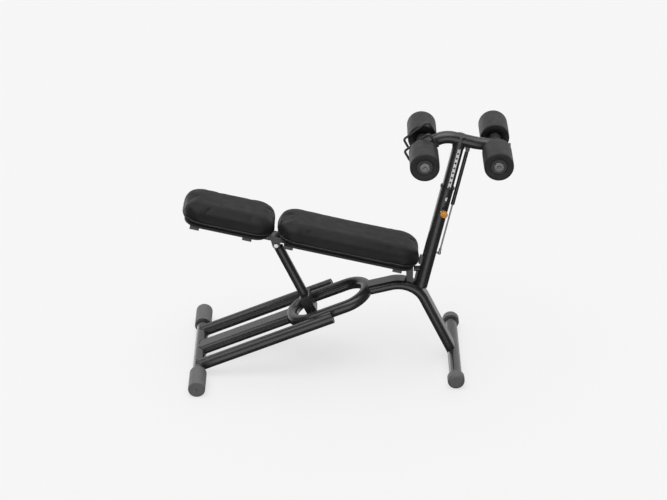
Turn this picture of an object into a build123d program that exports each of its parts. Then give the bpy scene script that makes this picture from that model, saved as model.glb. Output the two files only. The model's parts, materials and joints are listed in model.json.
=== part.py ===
from build123d import *
from math import cos, radians, sin
import os

# Adjustable abdominal bench. Millimetres. +X towards the leg rollers, +Y to the user's left, +Z up.
# The origin is at floor level, in the middle of the object's length and width.

# ---- driving dimensions ----
TUBE_R = 28.3            # base tubes
TUBE_WALL = 2.5
FOOT_R = 28.5            # foot bars
FOOT_Z = 39.0
REAR_X = -691.5
FRONT_X = 519.0
REAR_HALF = 380.0        # half the width over the rear sleeves
FRONT_HALF = 312.0
CAP_R = 40.0             # sleeves and caps on the foot bars
SLEEVE_LENGTH = 150.0

BASE_SLOPE = 22.4        # rails, centre beam and track loop
RAIL_Y = 164.0
RAIL_LENGTH = 683.0
LOOP_BEND = 107.0        # centre-line radius of the loop's ends
LOOP_START = 476.2       # centre-line tips, measured along the slope
LOOP_END = 857.3
BEAM_WIDTH = 98.0        # flat-oval tube
BEAM_HEIGHT = 46.0

ARCH_RADIUS = 138.0
ARCH_TOP_X = 249.5
ARCH_TOP_Z = 404.0
ARCH_RISE = 14.0         # slope where the arch leaves the loop
LEG_FALL = 64.0          # slope of the straight front leg

COLUMN_X = 364.0
COLUMN_Z = 414.0
COLUMN_LEAN = 12.4
COLUMN_R = 30.5
COLUMN_BORE = 28.2
COLUMN_TOP = 497.0       # distances along the column start at its reference point
INNER_R = 26.5
INNER_BORE = 24.0
INNER_BOTTOM = 206.0
INNER_TOP = 755.0
HOLE_PITCH = 25.0
HOLE_COUNT = 15
TOP_HOLE = 685.5
HOLE_R = 3.9
PLUNGER_AT = TOP_HOLE - 12 * HOLE_PITCH
COLLAR_FROM = 710.0
GAS_OFFSET = -44.0
INDEX_TURN = 10.0        # index holes and plunger face this much forward of the right side

BAR_R = 29.0             # curved roller bar
KNEE_X = 354.9
KNEE_Z = 1112.5
FOOT_ROLLER_X = 688.0
FOOT_ROLLER_Z = 1116.5
ROLLER_R = 67.5
ROLLER_INNER = 72.0      # half distances from the middle plane
ROLLER_OUTER = 241.0
AXLE_R = 12.5
RUNNING = 0.05           # radial clearance of a running fit

SEAT_X = 19.0
SEAT_Z = 628.0
PAD_SLOPE = 13.4
PAD_BOTTOM = -32.0       # heights are measured from the pad line
PAD_SEAM = 7.0
PAD_TOP = 57.0
PAD_WIDTH = 282.0        # sizes at the seam
PAD_CORNER = 95.0
SEAT_LENGTH = 678.0
HEAD_LENGTH = 436.8
HEAD_AT = -578.9         # head pad's centre along the pad line
BOARD = 12.0
CROSS_PLATE = 5.0
PAD_BEAM_WIDTH = 50.0
PAD_BEAM_DEPTH = 30.0
PIVOT_AT = 303.0
PIVOT_DROP = -64.0
BOLT_R = 6.0

STRUT_TOP_X = -323.0
STRUT_TOP_Z = 614.9
STRUT_LENGTH = 389.6
STRUT_ANGLE = 115.2      # from +X, foot to top
STRUT_R = 22.5

os.makedirs("parts", exist_ok=True)


# ---- working planes and helpers ----
def side_plane(x, z, tilt):
    """Side-view plane: local x leans up from +X by tilt degrees, its normal is -Y."""
    return Plane(origin=(x, 0, z), x_dir=(cos(radians(tilt)), 0, sin(radians(tilt))), z_dir=(0, -1, 0))


def section_plane(side, along, rise=0.0, y=0.0):
    """Plane square to a side plane's local x; its own x runs along +Y."""
    return Plane(origin=side.from_local_coords((along, rise, -y)), x_dir=(0, 1, 0), z_dir=side.x_dir)


def cross_plane(x, z, y):
    """Plane facing +Y at the given point, with its local x along +X."""
    return Plane(origin=(x, y, z), x_dir=(1, 0, 0), z_dir=(0, 1, 0))


def y_cylinder(x, z, radius, y_from, y_to):
    """A loose cylinder along Y, for cutting."""
    return Solid.make_cylinder(radius, y_to - y_from, cross_plane(x, z, y_from))


def index_plane(along, out=0.0):
    """Plane that faces out of the column at its index holes."""
    return Plane(origin=COLUMN.from_local_coords((along, 0, 0)), x_dir=COLUMN.x_dir, z_dir=INDEX_DIR).offset(out)


BASE = side_plane(REAR_X, FOOT_Z + 5.5, BASE_SLOPE)
COLUMN = side_plane(COLUMN_X, COLUMN_Z, 90 - COLUMN_LEAN)
PAD = side_plane(SEAT_X, SEAT_Z, -PAD_SLOPE)
STRUT_FOOT_X = STRUT_TOP_X - STRUT_LENGTH * cos(radians(STRUT_ANGLE))
STRUT_FOOT_Z = STRUT_TOP_Z - STRUT_LENGTH * sin(radians(STRUT_ANGLE))
STRUT = side_plane(STRUT_FOOT_X, STRUT_FOOT_Z, STRUT_ANGLE)
PIVOT = PAD.from_local_coords((PIVOT_AT, PIVOT_DROP, 0))
STRUT_TOP = Vector(STRUT_TOP_X, 0, STRUT_TOP_Z)
INDEX_DIR = Vector(0, -1, 0) * cos(radians(INDEX_TURN)) - COLUMN.y_dir * sin(radians(INDEX_TURN))
SIDES = (("left", 1), ("right", -1))


# ---- base: foot bars, sleeves and caps ----
with BuildPart() as rear_foot_bar:
    with BuildSketch(cross_plane(REAR_X, FOOT_Z, 0)):
        Circle(FOOT_R)
        Circle(FOOT_R - TUBE_WALL, mode=Mode.SUBTRACT)
    extrude(amount=REAR_HALF - 30, both=True)
rear_foot_bar.part.label = "rear_foot_bar"
export_step(rear_foot_bar.part, "parts/rear_foot_bar.step")

with BuildPart() as rear_sleeves:
    with BuildSketch(cross_plane(REAR_X, FOOT_Z, REAR_HALF - SLEEVE_LENGTH)):
        Circle(CAP_R)
    extrude(amount=SLEEVE_LENGTH)
    fillet(rear_sleeves.edges().filter_by(GeomType.CIRCLE).sort_by(Axis.Y)[-1], 5)
    with BuildSketch(cross_plane(REAR_X, FOOT_Z, REAR_HALF - SLEEVE_LENGTH)):
        Circle(FOOT_R + 0.1)
    extrude(amount=SLEEVE_LENGTH - 29.9, mode=Mode.SUBTRACT)
    with BuildSketch(cross_plane(REAR_X, FOOT_Z, REAR_HALF)):
        Circle(4)
    extrude(amount=-4, mode=Mode.SUBTRACT)
    split(bisect_by=Plane.XY, keep=Keep.TOP)
    mirror(about=Plane.XZ)
rear_sleeves.part.label = "rear_sleeves"
export_step(rear_sleeves.part, "parts/rear_sleeves.step")

with BuildPart() as front_foot_bar:
    with BuildSketch(cross_plane(FRONT_X, FOOT_Z, 0)):
        Circle(FOOT_R)
        Circle(FOOT_R - TUBE_WALL, mode=Mode.SUBTRACT)
    extrude(amount=FRONT_HALF - 19, both=True)
front_foot_bar.part.label = "front_foot_bar"
export_step(front_foot_bar.part, "parts/front_foot_bar.step")

CAP_LENGTH = 48.0
with BuildPart() as front_caps:
    with BuildSketch(cross_plane(FRONT_X, FOOT_Z, FRONT_HALF - CAP_LENGTH)):
        Circle(CAP_R)
    extrude(amount=CAP_LENGTH)
    fillet(front_caps.edges().filter_by(GeomType.CIRCLE).sort_by(Axis.Y)[-1], 16)
    with BuildSketch(cross_plane(FRONT_X, FOOT_Z, FRONT_HALF - CAP_LENGTH)):
        Circle(FOOT_R + 0.1)
    extrude(amount=CAP_LENGTH - 18.9, mode=Mode.SUBTRACT)
    split(bisect_by=Plane.XY, keep=Keep.TOP)
    mirror(about=Plane.XZ)
front_caps.part.label = "front_caps"
export_step(front_caps.part, "parts/front_caps.step")


# ---- base: track loop, rails and centre beam ----
def loop_tube(radius, bore):
    """The closed loop of tube; a bore of 0 gives the solid that its neighbours are cut with."""
    middle = (LOOP_START + LOOP_END) / 2
    half_straight = (LOOP_END - LOOP_START) / 2 - LOOP_BEND
    loop_plane = Plane(origin=BASE.from_local_coords((middle, 0, 0)), x_dir=BASE.x_dir, z_dir=BASE.y_dir)
    with BuildPart() as tube:
        with BuildLine(loop_plane):
            far = Line((0, LOOP_BEND), (half_straight, LOOP_BEND))
            bend = JernArc(far @ 1, (1, 0), LOOP_BEND, -180)
            Line(bend @ 1, (0, -LOOP_BEND))
        with BuildSketch(section_plane(BASE, middle, 0, LOOP_BEND)):
            Circle(radius)
            if bore:
                Circle(bore, mode=Mode.SUBTRACT)
        sweep()
        mirror(about=section_plane(BASE, middle))
    return tube.part


loop_solid = loop_tube(TUBE_R, 0)
loop_hollow = loop_tube(TUBE_R, TUBE_R - TUBE_WALL)
with BuildPart() as track_loop:
    add(loop_hollow)
track_loop.part.label = "track_loop"
export_step(track_loop.part, "parts/track_loop.step")

for side, sign in SIDES:
    with BuildPart() as rail:
        with BuildSketch(section_plane(BASE, 0, 0, sign * RAIL_Y)):
            Circle(TUBE_R)
            Circle(TUBE_R - TUBE_WALL, mode=Mode.SUBTRACT)
        extrude(amount=RAIL_LENGTH)
        add(y_cylinder(REAR_X, FOOT_Z, FOOT_R, -250, 250), mode=Mode.SUBTRACT)
    rail.part.label = f"rail_{side}"
    export_step(rail.part, f"parts/rail_{side}.step")

PLUG_DEPTH = 14.0
with BuildPart() as rail_plugs:
    for side, sign in SIDES:
        with BuildSketch(section_plane(BASE, RAIL_LENGTH - PLUG_DEPTH - 2, 0, sign * RAIL_Y)):
            Circle(TUBE_R - TUBE_WALL - 0.1)
        extrude(amount=PLUG_DEPTH)
rail_plugs.part.label = "rail_plugs"
export_step(rail_plugs.part, "parts/rail_plugs.step")

with BuildPart() as centre_beam:
    with BuildSketch(section_plane(BASE, 0)):
        SlotOverall(BEAM_WIDTH, BEAM_HEIGHT)
        SlotOverall(BEAM_WIDTH - 2 * TUBE_WALL, BEAM_HEIGHT - 2 * TUBE_WALL, mode=Mode.SUBTRACT)
    extrude(amount=LOOP_START)
    add(y_cylinder(REAR_X, FOOT_Z, FOOT_R, -60, 60), mode=Mode.SUBTRACT)
    add(loop_solid, mode=Mode.SUBTRACT)
centre_beam.part.label = "centre_beam"
export_step(centre_beam.part, "parts/centre_beam.step")


# ---- base: front arch and leg ----
def arch_tube(hollow):
    """Flat-oval tube from the loop's front tip, over the arch and down to the front foot bar."""
    rise_x = ARCH_TOP_X - ARCH_RADIUS * sin(radians(ARCH_RISE))
    rise_z = ARCH_TOP_Z - ARCH_RADIUS * (1 - cos(radians(ARCH_RISE)))
    run = 119.0
    start = (rise_x - run * cos(radians(ARCH_RISE)), rise_z - run * sin(radians(ARCH_RISE)))
    with BuildPart() as tube:
        with BuildLine(Plane.XZ) as path:
            rise = Line(start, (rise_x, rise_z))
            top = JernArc(rise @ 1, rise % 1, ARCH_RADIUS, -(ARCH_RISE + LEG_FALL))
            PolarLine(top @ 1, 320, direction=top % 1)
        with BuildSketch(Plane(origin=path.line @ 0, x_dir=(0, 1, 0), z_dir=path.line % 0)):
            SlotOverall(BEAM_WIDTH, BEAM_HEIGHT)
            if hollow:
                SlotOverall(BEAM_WIDTH - 2 * TUBE_WALL, BEAM_HEIGHT - 2 * TUBE_WALL, mode=Mode.SUBTRACT)
        sweep(path=path.line)
    return tube.part


arch_solid = arch_tube(False)
arch_hollow = arch_tube(True)
with BuildPart() as arch_beam:
    add(arch_hollow)
    add(loop_solid, mode=Mode.SUBTRACT)
    add(y_cylinder(FRONT_X, FOOT_Z, FOOT_R, -60, 60), mode=Mode.SUBTRACT)
arch_beam.part.label = "arch_beam"
export_step(arch_beam.part, "parts/arch_beam.step")


# ---- column: outer tube and what is fixed to it ----
with BuildPart() as column_envelope:
    with BuildSketch(section_plane(COLUMN, -60)):
        Circle(COLUMN_R)
    extrude(amount=COLUMN_TOP + 60)
column_solid = column_envelope.part

COLUMN_BOTTOM = -24.0
WINDOW_AT = 449.0        # a slot that shows the scale
with BuildPart() as column_tube:
    with BuildSketch(section_plane(COLUMN, COLUMN_BOTTOM)):
        Circle(COLUMN_R)
        Circle(COLUMN_BORE, mode=Mode.SUBTRACT)
    extrude(amount=COLUMN_TOP - COLUMN_BOTTOM)
    with BuildSketch(index_plane(PLUNGER_AT)):
        Circle(5.6)
    extrude(amount=COLUMN_R + 1, mode=Mode.SUBTRACT)
    with BuildSketch(index_plane(WINDOW_AT)):
        SlotOverall(34, 10)
    extrude(amount=COLUMN_R + 1, mode=Mode.SUBTRACT)
    add(arch_solid, mode=Mode.SUBTRACT)
column_tube.part.label = "column_tube"
export_step(column_tube.part, "parts/column_tube.step")

with BuildPart() as column_cap:
    with BuildSketch(section_plane(COLUMN, COLUMN_BOTTOM - 5)):
        Circle(COLUMN_R)
    extrude(amount=5)
    with BuildSketch(section_plane(COLUMN, COLUMN_BOTTOM)):
        Circle(COLUMN_BORE - 0.1)
    extrude(amount=18)
    add(arch_solid, mode=Mode.SUBTRACT)
column_cap.part.label = "column_cap"
export_step(column_cap.part, "parts/column_cap.step")

with BuildPart() as guide_bush:
    with BuildSketch(section_plane(COLUMN, COLUMN_TOP + 0.1)):
        Circle(COLUMN_R + 3)
    extrude(amount=9)
    fillet(guide_bush.edges().filter_by(GeomType.CIRCLE).sort_by(SortBy.DISTANCE, reverse=True)[0], 2.5)
    with BuildSketch(section_plane(COLUMN, COLUMN_TOP - 25)):
        Circle(COLUMN_BORE - 0.1)
    extrude(amount=26)
    with BuildSketch(section_plane(COLUMN, COLUMN_TOP - 50)):
        Circle(INNER_R + RUNNING)
    extrude(amount=80, mode=Mode.SUBTRACT)
guide_bush.part.label = "guide_bush"
export_step(guide_bush.part, "parts/guide_bush.step")

with BuildPart() as column_gusset:
    with BuildSketch(Plane.XZ):
        with BuildLine():
            Polyline((366, 478), (337, 478), (322, 396), (352, 380), close=True)
        make_face()
    extrude(amount=5, both=True)
    add(arch_solid, mode=Mode.SUBTRACT)
    add(column_solid, mode=Mode.SUBTRACT)
column_gusset.part.label = "column_gusset"
export_step(column_gusset.part, "parts/column_gusset.step")

with BuildPart() as bumper:
    with BuildSketch(section_plane(COLUMN, 88)):
        with Locations((0, COLUMN_R + 1)):
            RectangleRounded(28, 18, 3)
    extrude(amount=38)
    add(column_solid, mode=Mode.SUBTRACT)
bumper.part.label = "bumper"
export_step(bumper.part, "parts/bumper.step")

GAS_BALL_AT = 158.0
GAS_ROD_LENGTH = 322.0
with BuildPart() as gas_stud:
    with BuildSketch(Plane(origin=COLUMN.from_local_coords((GAS_BALL_AT, GAS_OFFSET, 0)), z_dir=COLUMN.y_dir)):
        Circle(5)
    extrude(amount=-GAS_OFFSET)
    with Locations(COLUMN.from_local_coords((GAS_BALL_AT, GAS_OFFSET, 0))):
        Sphere(8.5)
    add(column_solid, mode=Mode.SUBTRACT)
gas_stud.part.label = "gas_stud"
export_step(gas_stud.part, "parts/gas_stud.step")

with BuildPart() as gas_rod:
    with BuildSketch(section_plane(COLUMN, GAS_BALL_AT, GAS_OFFSET)):
        Circle(6)
    extrude(amount=24)
    with BuildSketch(section_plane(COLUMN, GAS_BALL_AT, GAS_OFFSET)):
        Circle(4)
    extrude(amount=GAS_ROD_LENGTH)
    with Locations(COLUMN.from_local_coords((GAS_BALL_AT, GAS_OFFSET, 0))):
        Sphere(8.6, mode=Mode.SUBTRACT)
gas_rod.part.label = "gas_rod"
export_step(gas_rod.part, "parts/gas_rod.step")

# ---- plunger on the column's right face ----
BOSS_END = 41.0
KNOB_FROM = 49.0
PIN_FROM = COLUMN_BORE + 0.3
with BuildPart() as plunger_housing:
    with BuildSketch(index_plane(PLUNGER_AT)):
        Circle(13)
    extrude(amount=BOSS_END)
    with BuildSketch(index_plane(PLUNGER_AT, BOSS_END)):
        RegularPolygon(11, 6)
    extrude(amount=7)
    add(column_solid, mode=Mode.SUBTRACT)
    with BuildSketch(index_plane(PLUNGER_AT)):
        Circle(5 + RUNNING)
    extrude(amount=60, mode=Mode.SUBTRACT)
plunger_housing.part.label = "plunger_housing"
export_step(plunger_housing.part, "parts/plunger_housing.step")

with BuildPart() as plunger_pin:
    with BuildSketch(index_plane(PLUNGER_AT, PIN_FROM)):
        Circle(5)
    extrude(amount=30)
    chamfer(plunger_pin.edges().sort_by(Axis.Y)[-1], 1)
plunger_pin.part.label = "plunger_pin"
export_step(plunger_pin.part, "parts/plunger_pin.step")

with BuildPart() as pull_knob:
    with BuildSketch(index_plane(PLUNGER_AT, KNOB_FROM)):
        Circle(16.5)
    extrude(amount=22)
    fillet(pull_knob.edges().filter_by(GeomType.CIRCLE).sort_by(Axis.Y)[0], 7)
    fillet(pull_knob.edges().filter_by(GeomType.CIRCLE).sort_by(Axis.Y)[-1], 3)
    with BuildSketch(index_plane(PLUNGER_AT, KNOB_FROM)):
        Circle(5.02)
    extrude(amount=PIN_FROM + 30 - KNOB_FROM, mode=Mode.SUBTRACT)
pull_knob.part.label = "pull_knob"
export_step(pull_knob.part, "parts/pull_knob.step")

# ---- seat hinge bracket and its brace ----
CLEVIS_INNER = 18.5
CLEVIS_OUTER = 26.5
with BuildPart() as pivot_bracket:
    with BuildSketch(Plane.XZ):
        with Locations((PIVOT.X, PIVOT.Z)):
            Circle(14)
        with Locations((305, 396)):
            Rectangle(28, 12)
        make_hull()
        with Locations((311, 440)):
            Rectangle(16, 112)
    extrude(amount=CLEVIS_OUTER, both=True)
    with BuildSketch(Plane.XZ):
        with Locations((PIVOT.X - 12, 470)):
            Rectangle(60, 110)
    extrude(amount=CLEVIS_INNER, both=True, mode=Mode.SUBTRACT)
    add(y_cylinder(PIVOT.X, PIVOT.Z, BOLT_R + 0.1, -40, 40), mode=Mode.SUBTRACT)
    add(arch_solid, mode=Mode.SUBTRACT)
pivot_bracket.part.label = "pivot_bracket"
export_step(pivot_bracket.part, "parts/pivot_bracket.step")

with BuildPart() as column_brace:
    with BuildSketch(Plane.YZ.offset(323)):
        with Locations((0, 477)):
            Circle(13)
            Circle(10.5, mode=Mode.SUBTRACT)
    extrude(amount=56)
    add(column_solid, mode=Mode.SUBTRACT)
    add(column_gusset.part, mode=Mode.SUBTRACT)
column_brace.part.label = "column_brace"
export_step(column_brace.part, "parts/column_brace.step")

# ---- lock sockets inside the loop ----
with BuildPart() as lock_sockets:
    for side, sign in SIDES:
        with BuildSketch(cross_plane(STRUT_FOOT_X, STRUT_FOOT_Z, sign * 60)):
            Circle(13)
            Circle(8.5, mode=Mode.SUBTRACT)
        extrude(amount=sign * 30)
    add(loop_solid, mode=Mode.SUBTRACT)
lock_sockets.part.label = "lock_sockets"
export_step(lock_sockets.part, "parts/lock_sockets.step")


# ---- bolts: a hex head on the right, a hex nut on the left ----
def make_bolt(name, x, z, grip):
    """Bolt along Y through a joint whose outer faces are grip from the middle plane."""
    with BuildPart() as bolt:
        with BuildSketch(cross_plane(x, z, -grip - 0.1)):
            Circle(BOLT_R)
        extrude(amount=2 * grip + 12)
        with BuildSketch(cross_plane(x, z, -grip - 0.1)):
            RegularPolygon(11, 6)
        extrude(amount=-7)
    bolt.part.label = f"{name}_bolt"
    export_step(bolt.part, f"parts/{name}_bolt.step")
    with BuildPart() as nut:
        with BuildSketch(cross_plane(x, z, grip + 0.1)):
            RegularPolygon(11, 6)
            Circle(BOLT_R + 0.05, mode=Mode.SUBTRACT)
        extrude(amount=8)
    nut.part.label = f"{name}_nut"
    export_step(nut.part, f"parts/{name}_nut.step")


EAR_INNER = PAD_BEAM_WIDTH / 2 + 0.1
EAR_OUTER = EAR_INNER + 6
make_bolt("pivot", PIVOT.X, PIVOT.Z, CLEVIS_OUTER)
make_bolt("strut", STRUT_TOP_X, STRUT_TOP_Z, EAR_OUTER)

# ---- bench: beam, lug, ears, cross plates ----
BEAM_TOP = PAD_BOTTOM - BOARD - CROSS_PLATE
BEAM_MID = BEAM_TOP - PAD_BEAM_DEPTH / 2
PAD_BEAM_START = -735.0
PAD_BEAM_END = 278.0
with BuildPart() as pad_beam:
    with BuildSketch(section_plane(PAD, PAD_BEAM_START, BEAM_MID)):
        RectangleRounded(PAD_BEAM_WIDTH, PAD_BEAM_DEPTH, 5)
        RectangleRounded(PAD_BEAM_WIDTH - 6, PAD_BEAM_DEPTH - 6, 2, mode=Mode.SUBTRACT)
    extrude(amount=PAD_BEAM_END - PAD_BEAM_START)
pad_beam.part.label = "pad_beam"
export_step(pad_beam.part, "parts/pad_beam.step")

with BuildPart() as beam_plug:
    with BuildSketch(section_plane(PAD, PAD_BEAM_START - 4, BEAM_MID)):
        RectangleRounded(PAD_BEAM_WIDTH, PAD_BEAM_DEPTH, 5)
    extrude(amount=3.9)
    with BuildSketch(section_plane(PAD, PAD_BEAM_START - 1, BEAM_MID)):
        RectangleRounded(PAD_BEAM_WIDTH - 6.4, PAD_BEAM_DEPTH - 6.4, 1.8)
    extrude(amount=16)
beam_plug.part.label = "beam_plug"
export_step(beam_plug.part, "parts/beam_plug.step")

with BuildPart() as hinge_lug:
    with BuildSketch(PAD):
        with Locations((PIVOT_AT, PIVOT_DROP)):
            Circle(14)
        with Locations((281, BEAM_MID)):
            Rectangle(4, PAD_BEAM_DEPTH - 4)
        make_hull()
        with Locations((260, BEAM_MID)):
            Rectangle(44, PAD_BEAM_DEPTH - 6.4)
    extrude(amount=CLEVIS_INNER - 0.5, both=True)
    add(y_cylinder(PIVOT.X, PIVOT.Z, BOLT_R + RUNNING, -40, 40), mode=Mode.SUBTRACT)
hinge_lug.part.label = "hinge_lug"
export_step(hinge_lug.part, "parts/hinge_lug.step")

strut_top_local = PAD.to_local_coords(STRUT_TOP)
with BuildPart() as strut_ears:
    with BuildSketch(PAD):
        with Locations((strut_top_local.X, strut_top_local.Y)):
            Circle(18)
        with Locations((strut_top_local.X - 9, BEAM_TOP - 8)):
            Rectangle(50, 15)
        make_hull()
    extrude(amount=EAR_OUTER, both=True)
    with BuildSketch(PAD):
        with Locations((strut_top_local.X, BEAM_MID)):
            Rectangle(100, 100)
    extrude(amount=EAR_INNER, both=True, mode=Mode.SUBTRACT)
    add(y_cylinder(STRUT_TOP_X, STRUT_TOP_Z, BOLT_R + 0.1, -50, 50), mode=Mode.SUBTRACT)
strut_ears.part.label = "strut_ears"
export_step(strut_ears.part, "parts/strut_ears.step")

PLATE_WIDTH = 224.0
PLATE_LENGTH = 44.0
PLATE_LIP = 14.0         # the plates' ends are turned down
PLATE_PLACES = (-723.0, -475.0, -279.0, 241.0)
with BuildPart() as cross_plates:
    for place in PLATE_PLACES:
        with BuildSketch(section_plane(PAD, place - PLATE_LENGTH / 2, BEAM_TOP + CROSS_PLATE / 2 - 0.05)):
            Rectangle(PLATE_WIDTH, CROSS_PLATE - 0.1)
            for side, sign in SIDES:
                with Locations((sign * (PLATE_WIDTH - CROSS_PLATE) / 2, -PLATE_LIP / 2)):
                    Rectangle(CROSS_PLATE, PLATE_LIP)
        extrude(amount=PLATE_LENGTH)
cross_plates.part.label = "cross_plates"
export_step(cross_plates.part, "parts/cross_plates.step")

with BuildPart() as board_screws:
    for place in PLATE_PLACES:
        for y in (-85, 85):
            with BuildSketch(Plane(PAD.from_local_coords((place, BEAM_TOP - 0.1, y)), z_dir=-PAD.y_dir)):
                Circle(7)
            extrude(amount=5)
            fillet(board_screws.edges().group_by(SortBy.LENGTH)[-1].sort_by(Axis.Z)[0], 0.5)
board_screws.part.label = "board_screws"
export_step(board_screws.part, "parts/board_screws.step")


# ---- bench: boards and pads ----
def pad_plane(centre, height):
    """Plane square to the pads' slope; its x runs along the pad line."""
    return Plane(PAD.from_local_coords((centre, height, 0)), x_dir=PAD.x_dir, z_dir=PAD.y_dir)


BOARD_INSET = 22.0
for name, centre, length in (("seat", 0.0, SEAT_LENGTH), ("head", HEAD_AT, HEAD_LENGTH)):
    with BuildPart() as board:
        with BuildSketch(pad_plane(centre, PAD_BOTTOM - BOARD)):
            RectangleRounded(length - 2 * BOARD_INSET, PAD_WIDTH - 2 * BOARD_INSET, PAD_CORNER - BOARD_INSET)
        extrude(amount=BOARD - 0.1)
    board.part.label = f"{name}_board"
    export_step(board.part, f"parts/{name}_board.step")
    with BuildPart() as pad:
        with BuildSketch(pad_plane(centre, PAD_SEAM)):
            RectangleRounded(length, PAD_WIDTH, PAD_CORNER)
        extrude(amount=PAD_TOP - PAD_SEAM, taper=29)
        with BuildSketch(pad_plane(centre, PAD_SEAM)):
            RectangleRounded(length, PAD_WIDTH, PAD_CORNER)
        extrude(amount=PAD_BOTTOM - PAD_SEAM, taper=24)
        fillet(pad.faces().sort_by(Axis(PAD.origin, PAD.y_dir))[-1].edges(), 14)
    pad.part.label = f"{name}_pad"
    export_step(pad.part, f"parts/{name}_pad.step")

# ---- strut ----
EYE_R = 12.5
FOOT_BLOCK_TOP = 88.0
with BuildPart() as strut_eye:
    with BuildSketch(STRUT):
        with Locations((STRUT_LENGTH, 0)):
            Circle(EYE_R)
    extrude(amount=PAD_BEAM_WIDTH / 2 - 0.5, both=True)
    with BuildSketch(STRUT):
        with Locations((STRUT_LENGTH - 26, 0)):
            Rectangle(52, 21)
    extrude(amount=13, both=True)
    add(y_cylinder(STRUT_TOP_X, STRUT_TOP_Z, BOLT_R + RUNNING, -40, 40), mode=Mode.SUBTRACT)
strut_eye.part.label = "strut_eye"
export_step(strut_eye.part, "parts/strut_eye.step")

with BuildPart() as strut_tube:
    with BuildSketch(section_plane(STRUT, FOOT_BLOCK_TOP + 0.1)):
        Circle(STRUT_R)
        Circle(STRUT_R - TUBE_WALL, mode=Mode.SUBTRACT)
    extrude(amount=STRUT_LENGTH - 26 - FOOT_BLOCK_TOP)
strut_tube.part.label = "strut_tube"
export_step(strut_tube.part, "parts/strut_tube.step")

with BuildPart() as strut_foot:
    with BuildSketch(STRUT):
        with Locations((38, 0)):
            RectangleRounded(100, 50, 7)
    extrude(amount=42, both=True)
    with BuildSketch(STRUT):
        with Locations((30, 10)):
            Rectangle(104, 60)
    extrude(amount=36, both=True, mode=Mode.SUBTRACT)
    add(y_cylinder(STRUT_FOOT_X, STRUT_FOOT_Z, 8.1, -50, 50), mode=Mode.SUBTRACT)
strut_foot.part.label = "strut_foot"
export_step(strut_foot.part, "parts/strut_foot.step")

with BuildPart() as lock_shaft:
    with BuildSketch(cross_plane(STRUT_FOOT_X, STRUT_FOOT_Z, 0)):
        Circle(8)
    extrude(amount=58, both=True)
    chamfer(lock_shaft.edges().filter_by(GeomType.CIRCLE), 2)
lock_shaft.part.label = "lock_shaft"
export_step(lock_shaft.part, "parts/lock_shaft.step")


# ---- column head: curved bar first, because its neighbours are cut to it ----
def roller_bar(radius, bore):
    """The bar over the column, from the knee hub to the foot hub."""
    with BuildPart() as bar:
        with BuildLine(Plane.XZ) as path:
            FilletPolyline(
                (KNEE_X, KNEE_Z),
                (455, 1162),
                (600, 1125.5),
                (FOOT_ROLLER_X, FOOT_ROLLER_Z),
                radius=[110, 300],
            )
        with BuildSketch(Plane(origin=path.line @ 0, x_dir=(0, 1, 0), z_dir=path.line % 0)):
            Circle(radius)
            if bore:
                Circle(bore, mode=Mode.SUBTRACT)
        sweep(path=path.line)
    return bar.part


HUB_R = 30.0
HUB_HALF = 66.0
HUBS = (("knee", KNEE_X, KNEE_Z), ("foot", FOOT_ROLLER_X, FOOT_ROLLER_Z))
bar_solid = roller_bar(BAR_R, 0)
bar_hollow = roller_bar(BAR_R, BAR_R - TUBE_WALL)
with BuildPart() as curved_bar:
    add(bar_hollow)
    for name, x, z in HUBS:
        add(y_cylinder(x, z, HUB_R, -40, 40), mode=Mode.SUBTRACT)
curved_bar.part.label = "curved_bar"
export_step(curved_bar.part, "parts/curved_bar.step")

with BuildPart() as hub_sleeves:
    for name, x, z in HUBS:
        with BuildSketch(cross_plane(x, z, 0)):
            Circle(HUB_R)
            Circle(AXLE_R + 0.1, mode=Mode.SUBTRACT)
        extrude(amount=HUB_HALF, both=True)
    with BuildSketch(Plane.YZ.offset(FOOT_ROLLER_X + HUB_R - 2)):
        with Locations((0, FOOT_ROLLER_Z)):
            Circle(9)
    extrude(amount=ROLLER_R - HUB_R + 2)
hub_sleeves.part.label = "hub_sleeves"
export_step(hub_sleeves.part, "parts/hub_sleeves.step")

with BuildPart() as roller_axles:
    for name, x, z in HUBS:
        with BuildSketch(cross_plane(x, z, 0)):
            Circle(AXLE_R)
        extrude(amount=ROLLER_OUTER - 14, both=True)
    chamfer(roller_axles.edges().filter_by(GeomType.CIRCLE), 1)
roller_axles.part.label = "roller_axles"
export_step(roller_axles.part, "parts/roller_axles.step")

# ---- column head: inner tube, scale, glider, collar ----
with BuildPart() as index_holes:
    for step in range(HOLE_COUNT):
        with BuildSketch(index_plane(TOP_HOLE - step * HOLE_PITCH)):
            Circle(HOLE_R)
        extrude(amount=COLUMN_R)

SCALE_FLAT = 24.8        # the flat that carries the scale, from the tube's axis
SCALE_FROM = 318.0
CUT_DEPTH = 10.0
STRIP = 0.5
STRIP_WIDTH = 14.4


def index_spot(reach):
    """A point of the tube's cross-section at this reach from the axis, towards the index holes."""
    return (-reach * cos(radians(INDEX_TURN)), -reach * sin(radians(INDEX_TURN)))


with BuildPart() as inner_tube:
    with BuildSketch(section_plane(COLUMN, INNER_BOTTOM)):
        Circle(INNER_R)
        Circle(INNER_BORE, mode=Mode.SUBTRACT)
    extrude(amount=INNER_TOP - INNER_BOTTOM)
    with BuildSketch(section_plane(COLUMN, SCALE_FROM)):
        with Locations(index_spot(SCALE_FLAT + CUT_DEPTH / 2)):
            Rectangle(CUT_DEPTH, 30, rotation=INDEX_TURN)
    extrude(amount=COLLAR_FROM - SCALE_FROM, mode=Mode.SUBTRACT)
    add(index_holes.part, mode=Mode.SUBTRACT)
    add(bar_solid, mode=Mode.SUBTRACT)
inner_tube.part.label = "inner_tube"
export_step(inner_tube.part, "parts/inner_tube.step")

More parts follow.
